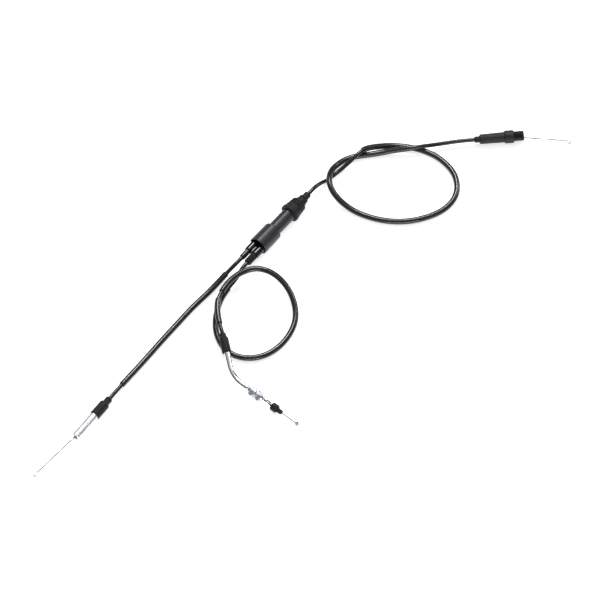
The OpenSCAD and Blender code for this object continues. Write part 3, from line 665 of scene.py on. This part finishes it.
# %% Finish builder
def make_finish(name, dark, light, rough, metal=0.0, coat=0.0, blotch=0.3, grain=8.0,
                grain_depth=0.0, along=1.0, across=60.0, line_depth=0.0, scuff_tint=0.0,
                specular=0.5):
    """A Principled finish. Depths are in millimetres, and scales are per millimetre."""
    material = bpy.data.materials.new(name)
    material.use_nodes = True
    tree = material.node_tree
    tree.nodes.clear()
    s = Sums(tree)
    out = tree.nodes.new("ShaderNodeOutputMaterial")
    shader = tree.nodes.new("ShaderNodeBsdfPrincipled")
    tree.links.new(shader.outputs[0], out.inputs[0])
    shader.inputs["Specular IOR Level"].default_value = specular
    shader.inputs["Metallic"].default_value = metal
    shader.inputs["Coat Weight"].default_value = coat
    shader.inputs["Coat Roughness"].default_value = 0.08
    spot = tree.nodes.new("ShaderNodeTexCoord")
    to_mm = s.node("ShaderNodeMapping", Vector=spot.outputs["Object"],
                   Scale=(1000.0, 1000.0, 1000.0))
    patches = tree.nodes.new("ShaderNodeGroup")
    patches.node_tree = mottle
    s.put(patches.inputs["Vector"], to_mm.outputs[0])
    patches.inputs["Blotch Scale"].default_value = blotch
    patches.inputs["Grain Scale"].default_value = grain
    lines = tree.nodes.new("ShaderNodeGroup")
    lines.node_tree = drawn_lines
    s.put(lines.inputs["UV"], spot.outputs["UV"])
    lines.inputs["Along"].default_value = along
    lines.inputs["Across"].default_value = across
    marks = tree.nodes.new("ShaderNodeGroup")
    marks.node_tree = scuffs
    s.put(marks.inputs["Vector"], to_mm.outputs[0])
    mix = tree.nodes.new("ShaderNodeMix")
    mix.data_type = "RGBA"
    tone = s.math("MULTIPLY_ADD", patches.outputs["Grain"], 0.4,
                  s.math("MULTIPLY", patches.outputs["Blotch"], 0.6))
    s.put(mix.inputs["Factor"], s.math("ADD", tone, s.math(
        "MULTIPLY", marks.outputs[0], scuff_tint)))
    for socket in (q for q in mix.inputs if q.type == "RGBA"):
        socket.default_value = (*(dark if socket.name == "A" else light), 1)
    result = next(q for q in mix.outputs if q.type == "RGBA")
    tree.links.new(result, shader.inputs["Base Color"])
    spread = s.node("ShaderNodeMapRange", Value=s.math(
        "ADD", tone, s.math("MULTIPLY", marks.outputs[0], 0.5)), To_Min=rough[0],
        To_Max=rough[1])
    tree.links.new(spread.outputs[0], shader.inputs["Roughness"])
    if grain_depth or line_depth:
        height = s.math("MULTIPLY_ADD", patches.outputs["Grain"], grain_depth,
                        s.math("MULTIPLY", lines.outputs[0], line_depth))
        bump = tree.nodes.new("ShaderNodeBump")
        bump.inputs["Distance"].default_value = MM
        s.put(bump.inputs["Height"], height)
        tree.links.new(bump.outputs[0], shader.inputs["Normal"])
    return material


# %% The finishes
jacket = make_finish("jacket_gloss_black", (0.006, 0.006, 0.007), (0.012, 0.012, 0.014),
                     (0.14, 0.24), specular=0.42, blotch=0.05, grain=2.0, along=0.15,
                     across=14.0, line_depth=0.012)
tubing = make_finish("sleeve_gloss_black", (0.007, 0.007, 0.008), (0.015, 0.015, 0.017),
                     (0.16, 0.28), specular=0.5, blotch=0.06, grain=1.5, along=0.12,
                     across=8.0, line_depth=0.02)
rubber = make_finish("boot_rubber_matte", (0.010, 0.010, 0.012), (0.020, 0.020, 0.023),
                     (0.46, 0.64), specular=0.2, blotch=0.25, grain=5.0, grain_depth=0.012,
                     scuff_tint=0.5)
fluted_rubber = make_finish("boot_rubber_streaked", (0.009, 0.009, 0.010),
                            (0.022, 0.022, 0.025), (0.38, 0.56), specular=0.25, blotch=0.25,
                            grain=4.0, grain_depth=0.008, along=0.3, across=22.0,
                            line_depth=0.03)
adjuster_black = make_finish("adjuster_black", (0.005, 0.005, 0.006), (0.012, 0.012, 0.013),
                             (0.28, 0.46), specular=0.25, blotch=0.3, grain=6.0,
                             grain_depth=0.004, scuff_tint=0.6)
charcoal = make_finish("housing_charcoal", (0.015, 0.014, 0.019), (0.028, 0.026, 0.034),
                       (0.34, 0.46), specular=0.4, blotch=0.12, grain=5.0, grain_depth=0.003,
                       along=0.2, across=10.0, line_depth=0.01, scuff_tint=0.6)
piano_black = make_finish("outlet_gloss_black", (0.004, 0.004, 0.005), (0.010, 0.010, 0.012),
                          (0.12, 0.22), specular=0.4, blotch=0.2, grain=3.0,
                          grain_depth=0.001)
aluminium = make_finish("turned_aluminium", (0.76, 0.77, 0.80), (0.88, 0.89, 0.92),
                        (0.34, 0.48), metal=1.0, blotch=0.25, grain=6.0, grain_depth=0.002,
                        along=90.0, across=0.3, line_depth=0.012)
plating = make_finish("bright_plating", (0.64, 0.65, 0.67), (0.80, 0.81, 0.83), (0.06, 0.16),
                      metal=1.0, blotch=0.15, grain=2.0, along=0.3, across=18.0,
                      line_depth=0.003)
zinc = make_finish("zinc_plate", (0.66, 0.70, 0.76), (0.86, 0.88, 0.91), (0.26, 0.44),
                   metal=1.0, blotch=0.35, grain=5.0, grain_depth=0.004)
wire_steel = make_finish("wire_steel", (0.34, 0.34, 0.35), (0.56, 0.56, 0.57), (0.3, 0.44),
                         metal=1.0, blotch=0.4, grain=5.0)
nipple_metal = make_finish("nipple_cast", (0.34, 0.34, 0.345), (0.66, 0.66, 0.67),
                           (0.2, 0.38), metal=1.0, blotch=0.5, grain=3.0, grain_depth=0.01)
nylon = make_finish("slider_nylon", (0.55, 0.53, 0.46), (0.70, 0.68, 0.6), (0.4, 0.55),
                    blotch=0.2, grain=4.0, grain_depth=0.004)
ferrule_steel = make_finish("ferrule_steel", (0.42, 0.43, 0.45), (0.58, 0.59, 0.61),
                            (0.26, 0.4), metal=1.0, blotch=0.3, grain=5.0, grain_depth=0.003)
print("finishes", len(bpy.data.materials))


def dress(o, material, body, node):
    """Gives a finished piece its material and its body, and hides the CAD node that it stands for."""
    o.data.materials.clear()
    o.data.materials.append(material)
    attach(o, body)
    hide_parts(node)


for cord_piece in (upper_conduit, carb_conduit, pump_conduit):
    cord_piece.data.materials.append(jacket)
for tube in (upper_sleeve, carb_sleeve, pump_sleeve, pump_end_sleeve):
    tube.data.materials.append(tubing)

# %% [markdown]
# ## The throttle end
# The end of the upper cable screws into the throttle housing. A long rubber boot keeps water out.
# It has a ribbed neck that grips the conduit, a body with fine flutes for the fingers, and a
# rounded rim. The black adjuster comes out of the rim. Its thread is wide enough for the wire to
# leave at an angle.

# %% Throttle boot
boot = turned_part("throttle_boot_rubber", None, [
    (-60, 2.55, 0.1), (-60, 3.4, 0.4), (-53.6, 4.1, 0.2), (-53.4, 5.3, 0.4), (-52.6, 6.0, 0.5),
    (-23.6, 6.4, 0.2), (-23.4, 7.3, 0.3), (-21.6, 7.9, 0.8), (-13.0, 7.9, 0.9),
    (-12.0, 7.2, 0.4), (-12, 5.15, 0.1), (-50.3, 5.15, 0.2), (-50.3, 2.55, 0.2)],
    step=1.2, sides=120)
run_tree(boot, flute_tree, Depth=0.16 * MM, Start=-52 * MM, End=-24 * MM,
         Least_Radius=5.6 * MM, Count=26.0)
run_tree(boot, ribs_tree, Ribs=4, Start=-58.9 * MM, Spacing=1.5 * MM, Ring_Radius=3.55 * MM,
         Rib_Width=0.45 * MM)
boot.data.transform(throttle_frame)
dress(boot, fluted_rubber, "throttle_boot", "throttle_boot")

# %% Adjuster
adjuster = turned_part("adjuster_threaded", None, [
    (-40, 4.2, 0.1), (-40, 5.1, 0.1), (-12.0, 5.1, 0), (-12.0, 6.2, 0.4), (0, 6.2, 0.5),
    (0, 4.6, 0.3), (-11.5, 4.6, 0.3), (-12.3, 4.2, 0.2)], step=0.25, sides=96)
run_tree(adjuster, thread_tree, Pitch=1.25 * MM, Depth=0.45 * MM, Start=-11.6 * MM,
         End=-0.5 * MM, Least_Radius=5.3 * MM)
adjuster.data.transform(throttle_frame)
dress(adjuster, adjuster_black, "cable", "throttle_adjuster")

# %% [markdown]
# ## Wires and nipples
# The inner wire is laid from thin strands, so light breaks up on it. A barrel nipple is cast onto
# its end and hooks into the lever or the drum that pulls the cable. A nipple is a short cylinder
# with rounded edges, a dimple where the wire end was spread, and a small neck of solder.

# %% Wires
def mount_point(name):
    return Vector(mounts[name]["pos_m"])


def make_wire(name, node, body, nipple_mount, joint, sign, r, tail):
    """A stranded wire from inside its fitting to the nipple."""
    low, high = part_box(node)
    heading = Vector(joints[joint]["axis"]) * sign
    reach = abs((Vector(high) - Vector(low)).dot(Vector([abs(v) for v in heading])))
    along = reach - 2 * r * (abs(heading.x) * abs(heading.y) * 2)
    end = mount_point(nipple_mount)
    start = end - heading * (along - tail)
    mesh = bpy.data.meshes.new(name)
    o = bpy.data.objects.new(name, mesh)
    bpy.context.scene.collection.objects.link(o)
    run_tree(o, wire_tree, Length=(end - start).length, Wire_Radius=r * 1.0, Strands=7,
             Lay=13 * r, Rings=160, Material=wire_steel)
    o.data.transform(axis_frame(start, heading))
    dress(o, wire_steel, body, node)
    return o


make_wire("throttle_wire_strands", "throttle_wire", "throttle_pull", "throttle_nipple_barrel",
          "throttle_pull", 1, 0.8 * MM, 2 * MM)
make_wire("carb_wire_strands", "carb_wire", "carb_pull", "carb_nipple_barrel",
          "carb_wire_draw", -1, 0.75 * MM, 2 * MM)
make_wire("pump_wire_strands", "pump_wire", "pump_pull", "pump_nipple_barrel",
          "pump_wire_draw", -1, 0.75 * MM, 2 * MM)


# %% Nipples
def make_nipple(name, node, body, mount, d, h, heading, roll=0.0):
    """A barrel with an upright axis, a dimple on top and a solder neck towards the wire."""
    r = d / 2
    dimple_r = d * 0.225
    barrel = turned_part(name, None, [
        (-h / 2, 0), (-h / 2, r, 0.5), (h / 2, r, 0.5), (h / 2, dimple_r, 0.25),
        (h / 2 - 1, dimple_r * 0.8, 0.3), (h / 2 - 1, 0)], step=1.0, sides=48)
    barrel.data.transform(Matrix.Rotation(-math.pi / 2, 4, "Y"))
    neck = turned_part(name + "_neck", None, [
        (-r - 1.2, 0), (-r - 1.2, 0.85, 0.2), (-r - 0.3, 1.3, 0.4), (-r * 0.6, 1.9, 0.2),
        (-r * 0.6, 0)], step=0.5, sides=32)
    join_into(barrel, neck)
    barrel.data.transform(axis_frame(mount_point(mount), heading, roll))
    dress(barrel, nipple_metal, body, node)


def join_into(target, *others):
    """Joins finished meshes into the first object, without operators."""
    import bmesh
    joined = bmesh.new()
    joined.from_mesh(target.data)
    for other in others:
        joined.from_mesh(other.data)
        bpy.data.objects.remove(other)
    joined.to_mesh(target.data)
    joined.free()


make_nipple("throttle_nipple_cast", "throttle_nipple", "throttle_pull",
            "throttle_nipple_barrel", 6.6, 6, joints["throttle_pull"]["axis"])
make_nipple("carb_nipple_cast", "carb_nipple", "carb_pull", "carb_nipple_barrel", 4.8, 6,
            [-v for v in joints["carb_wire_draw"]["axis"]])
make_nipple("pump_nipple_cast", "pump_nipple", "pump_pull", "pump_nipple_barrel", 4.8, 4.5,
            [-v for v in joints["pump_wire_draw"]["axis"]], PUMP_ROLL)

# %% [markdown]
# ## The splitter
# In the splitter one wire lifts a slider, and the slider pulls two wires. Outside, it is a satin
# tube with a rubber cap at the top and a sliding sleeve at the bottom. The sleeve covers the
# joint, and the glossy outlet block comes out of its hollow mouth.

# %% Housing and sliding sleeve
housing = turned_part("splitter_housing_tube", splitter_frame, [
    (9, 7.2, 0.2), (9, 8.6, 0.4), (76, 8.6, 0.6), (76, 3.0, 0.2), (73, 3.0, 0.2),
    (73, 7.2, 0.3)], step=3.0, sides=96)
dress(housing, charcoal, "cable", "splitter_housing")

sliding_sleeve = turned_part("splitter_sleeve_moulding", splitter_frame, [
    (0, 10.4, 0.2), (0, 12.0, 0.5), (28.6, 11.6, 0.2), (30, 10.5, 0.6), (30, 8.65, 0.3),
    (9, 8.65, 0.1), (9, 10.4, 0.5)], step=2.0, sides=96)
dress(sliding_sleeve, charcoal, "splitter_sleeve", "splitter_sleeve")

# %% Rubber cap
cap = turned_part("splitter_cap_rubber", splitter_frame, [
    (59.6, 8.65, 0.2), (59.6, 11.9, 0.6), (62.8, 12.2, 0.6), (64.2, 11.5, 0.5),
    (70.5, 10.7, 0.5), (71.3, 9.6, 0.4), (72.3, 9.5, 0.3), (73.0, 10.5, 0.5),
    (74.6, 10.3, 0.5), (75.3, 9.1, 0.4), (76.2, 9.0, 0.3), (77.0, 9.9, 0.5), (79.6, 9.5, 0.8),
    (80.6, 6.6, 0.5), (84.6, 6.6, 0.6), (85.4, 5.4, 0.3), (86.2, 5.4, 0.3), (86.9, 6.1, 0.4),
    (88.8, 5.9, 0.6), (89.2, 4.5, 0.4), (96.2, 4.3, 0.4), (96.8, 3.6, 0.3), (96.8, 2.55, 0.1),
    (86.5, 2.55, 0.1), (86.5, 4.0, 0.1), (76.2, 4.0, 0.1), (76.2, 8.65, 0.2)],
    step=1.5, sides=96)
dress(cap, rubber, "splitter_cap", "splitter_cap")

# %% Outlet block and sockets
def shifted_frame(place, y):
    return place @ Matrix.Translation((0, y * MM, 0))


barrels = [turned_part(f"barrel_{i}", shifted_frame(splitter_frame, y), [
    (-13, 3.2, 0.2), (-13, 5.1, 0.7), (9, 5.1, 0.4), (9, 1.15, 0.1), (-7, 1.15, 0.1),
    (-7, 3.2, 0.1)], step=2.0) for i, y in enumerate((OUTLET_Y, -OUTLET_Y))]
web = turned_part("web", splitter_frame, [
    (-12.2, 0), (-12.2, 3.2, 0.4), (9, 3.2, 0.2), (9, 7.1, 0.2), (14.9, 7.1, 0.4), (14.9, 0)],
    step=2.0)
join_into(barrels[0], barrels[1], web)
block = barrels[0]
block.name = "outlet_block_moulding"
dress(block, piano_black, "cable", "outlet_block")

carb_socket = turned_part("carb_socket_moulding", shifted_frame(splitter_frame, OUTLET_Y), [
    (-25, 2.5, 0.2), (-25, 3.4, 0.3), (-24, 3.6, 0.3), (-13, 3.6, 0.2), (-13, 3.15, 0.1),
    (-7.1, 3.15, 0.3), (-7.1, 1.15, 0.1), (-17, 1.15, 0.1), (-17, 2.5, 0.1)], step=2.0)
dress(carb_socket, jacket, "cable", "carb_socket")

pump_socket = turned_part("pump_socket_moulding", None, [
    (-27, 2.5, 0.2), (-27, 4.1, 0.4), (-13, 4.1, 0.2), (-13, 3.15, 0.1), (-7.1, 3.15, 0.3),
    (-7.1, 1.15, 0.1), (-19, 1.15, 0.1), (-19, 2.5, 0.1)], step=2.0)
run_tree(pump_socket, ribs_tree, Ribs=5, Start=-25.4 * MM, Spacing=2.5 * MM,
         Ring_Radius=4.0 * MM, Rib_Width=0.6 * MM)
pump_socket.data.transform(shifted_frame(splitter_frame, -OUTLET_Y))
dress(pump_socket, rubber, "cable", "pump_socket")

# %% [markdown]
# ## The carburettor end
# A bare aluminium tube carries the cable into the carburettor. It was turned from bar, so fine
# tool marks run round it, and its mouth has a chamfer. A plain rubber boot covers the crimp.

# %% Carburettor boot and tube
carb_boot = turned_part("carb_boot_rubber", carb_frame, [
    (-68.8, 2.55, 0.1), (-68.8, 3.9, 0.6), (-67.6, 4.25, 0.5), (-61.2, 4.2, 0.6),
    (-59.2, 6.0, 0.7), (-57.6, 6.3, 0.6), (-38.6, 6.3, 0.5), (-37.7, 5.95, 0.3),
    (-37.7, 5.65, 0.1), (-58.0, 5.65, 0.3), (-58.3, 2.55, 0.2)], step=2.0, sides=80)
dress(carb_boot, rubber, "carb_boot", "carb_boot")

carb_tube = turned_part("carb_tube_turned", None, [
    (-48, 3.3, 0.1), (-48, 5.6, 0.2), (-4.2, 5.6, 0.1), (-3.9, 5.35, 0.1), (-3.3, 5.35, 0.1),
    (-3.0, 5.6, 0.1), (-0.7, 5.6, 0.1), (0, 4.95, 0.1), (0, 2.6, 0.1), (-3.0, 2.5, 0.1),
    (-3.2, 3.3, 0.1)],
    step=0.2, sides=96)
run_tree(carb_tube, thread_tree, Pitch=0.8 * MM, Depth=0.1 * MM, Start=-36.5 * MM,
         End=-5.5 * MM, Least_Radius=5.4 * MM)
carb_tube.data.transform(carb_frame)
dress(carb_tube, aluminium, "cable", "carb_tube")

# %% [markdown]
# ## The pump end
# The pump cable ends in a bright bent tube with a thread. Two lock nuts clamp it to a bracket, so
# the length of the cable can be set. The tube is one turned profile on a path with a bend in it,
# and the thread is pushed into its straight leg. A rubber dust cap closes its mouth.

# %% Bent tube
def bent_path():
    """From the conduit's side to the thread's end, in the pump frame."""
    points = []
    rear = leg_frame_local @ Vector((26.5 * MM, 0, 0))
    start = leg_frame_local @ Vector((0, 0, 0))
    for k in range(8):
        points.append(rear.lerp(start, k / 8))
    for k in range(25):
        a = -math.pi / 2 - BEND_ANGLE * (1 - k / 24)
        points.append(Vector((BEND_R * math.cos(a), BEND_R + BEND_R * math.sin(a), 0)))
    for k in range(1, 27):
        points.append(Vector((52 * MM * k / 26, 0, 0)))
    return Path(points)


leg_frame_local = (Matrix.Translation((-BEND_R * math.sin(BEND_ANGLE),
                                       BEND_R * (1 - math.cos(BEND_ANGLE)), 0))
                   @ Matrix.Rotation(math.pi - BEND_ANGLE, 4, "Z"))
tube_path = bent_path()
TUBE_R = 3.5 * MM
TUBE_BORE_R = 1.6 * MM
small = 0.2 * MM
bent_tube_mesh = turned_mesh("pump_tube_bent", tube_path, [
    (0, TUBE_BORE_R, small), (0, TUBE_R, small), (tube_path.length, TUBE_R, 2 * small),
    (tube_path.length, TUBE_BORE_R, small)], 0.22 * MM, 64)
bent_tube = add_object("pump_tube_bent", bent_tube_mesh)
run_tree(bent_tube, thread_tree, Pitch=1.0 * MM, Depth=0.42 * MM, Start=8 * MM,
         End=51.8 * MM, Least_Radius=2.9 * MM)
bent_tube.data.transform(pump_frame)
dress(bent_tube, plating, "cable", "pump_bent_tube")

# %% Pump boot and dust cap
pump_boot = turned_part("pump_boot_rubber", leg_frame, [
    (17.5, 3.5, 0.1), (17.5, 5.0, 0.5), (18.6, 5.7, 0.6), (36.4, 5.5, 0.6), (38.6, 4.1, 0.6),
    (42.6, 3.9, 0.4), (43.5, 3.3, 0.3), (43.5, 2.5, 0.1), (36.7, 2.5, 0.1), (36.7, 4.2, 0.2),
    (26.5, 4.2, 0.1), (26.5, 3.5, 0.1)], step=2.0, sides=80)
dress(pump_boot, rubber, "cable", "pump_boot")

dust_cap = turned_part("pump_dust_cap_rubber", pump_frame, [
    (48, 3.5, 0.2), (48, 4.7, 0.5), (48.8, 5.1, 0.5), (55.2, 5.1, 0.8), (56.1, 4.3, 0.5),
    (56.4, 2.9, 0.4), (62.4, 2.8, 0.5), (63.2, 2.3, 0.3), (63.2, 1.15, 0.1), (52.1, 1.15, 0.1),
    (52.1, 3.5, 0.2)], step=1.5, sides=72)
dress(dust_cap, rubber, "cable", "pump_dust_cap")

# %% Pieces that keep their CAD surface
kept = {
    "inner_lock_nut": zinc, "outer_lock_nut": zinc, "inner_washer": zinc,
    "outer_washer": zinc, "splitter_slider": nylon, "throttle_ferrule": ferrule_steel,
    "upper_ferrule": ferrule_steel, "carb_ferrule": ferrule_steel,
    "pump_ferrule": ferrule_steel, "splitter_upper_wire": wire_steel,
    "splitter_carb_wire": wire_steel, "splitter_pump_wire": wire_steel,
}
for title, material in kept.items():
    nodes[title].data.materials.clear()
    nodes[title].data.materials.append(material)
print("kept", len(kept), "of", len(nodes))

# %% [markdown]
# ## Floor and light
# The studio is a pale floor that glows a little, as a lit table does, which keeps the shadows faint.
# A large weak soft box hangs over it. A small bright one stands behind the object, where the top
# of every flat-lying cable mirrors it to the camera as a thin line. One to the side and one low in
# front light the edges. A weak grey sky fills the rest.

# %% Floor
floor_mesh = bpy.data.meshes.new("floor")
half = 6.0
FLOOR_GLOW = 0.66
SKY_STRENGTH = 0.18
floor_mesh.from_pydata([(-half, -half, 0), (half, -half, 0), (half, half, 0), (-half, half, 0)],
                       [], [(0, 1, 2, 3)])
floor = bpy.data.objects.new("floor", floor_mesh)
floor.location.z = -0.0002
bpy.context.scene.collection.objects.link(floor)
paper = bpy.data.materials.new("pale_floor")
paper.use_nodes = True
paper_shader = paper.node_tree.nodes["Principled BSDF"]
paper_shader.inputs["Base Color"].default_value = (0.93, 0.93, 0.93, 1)
paper_shader.inputs["Roughness"].default_value = 0.9
paper_shader.inputs["Specular IOR Level"].default_value = 0.1
paper_shader.inputs["Emission Color"].default_value = (1, 1, 1, 1)
paper_shader.inputs["Emission Strength"].default_value = FLOOR_GLOW
floor_mesh.materials.append(paper)


# %% Lights
def soft_box(name, place, size, watts):
    """A rectangular area light that faces the middle of the object."""
    data = bpy.data.lights.new(name, "AREA")
    data.shape = "RECTANGLE"
    data.size, data.size_y = size
    data.energy = watts
    lamp = bpy.data.objects.new(name, data)
    lamp.location = place
    lamp.visible_camera = False
    lamp.rotation_mode = "QUATERNION"
    lamp.rotation_quaternion = (-Vector(place)).to_track_quat("-Z", "Y")
    bpy.context.scene.collection.objects.link(lamp)


soft_box("overhead", (0, 0.2, 2.2), (3.6, 2.8), 16)
soft_box("key", (0, 1.34, 1.99), (0.6, 0.6), 33)
soft_box("side", (1.5, 1.25, 1.3), (0.5, 0.5), 11)
soft_box("low_strip", (0.3, -2.2, 0.35), (1.6, 0.16), 20)

world = bpy.data.worlds.new("studio")
world.use_nodes = True
world.node_tree.nodes["Background"].inputs[0].default_value = (0.95, 0.97, 1.0, 1)
world.node_tree.nodes["Background"].inputs[1].default_value = SKY_STRENGTH
bpy.context.scene.world = world
bpy.context.scene.view_settings.view_transform = "Standard"
bpy.context.scene.view_settings.look = "None"
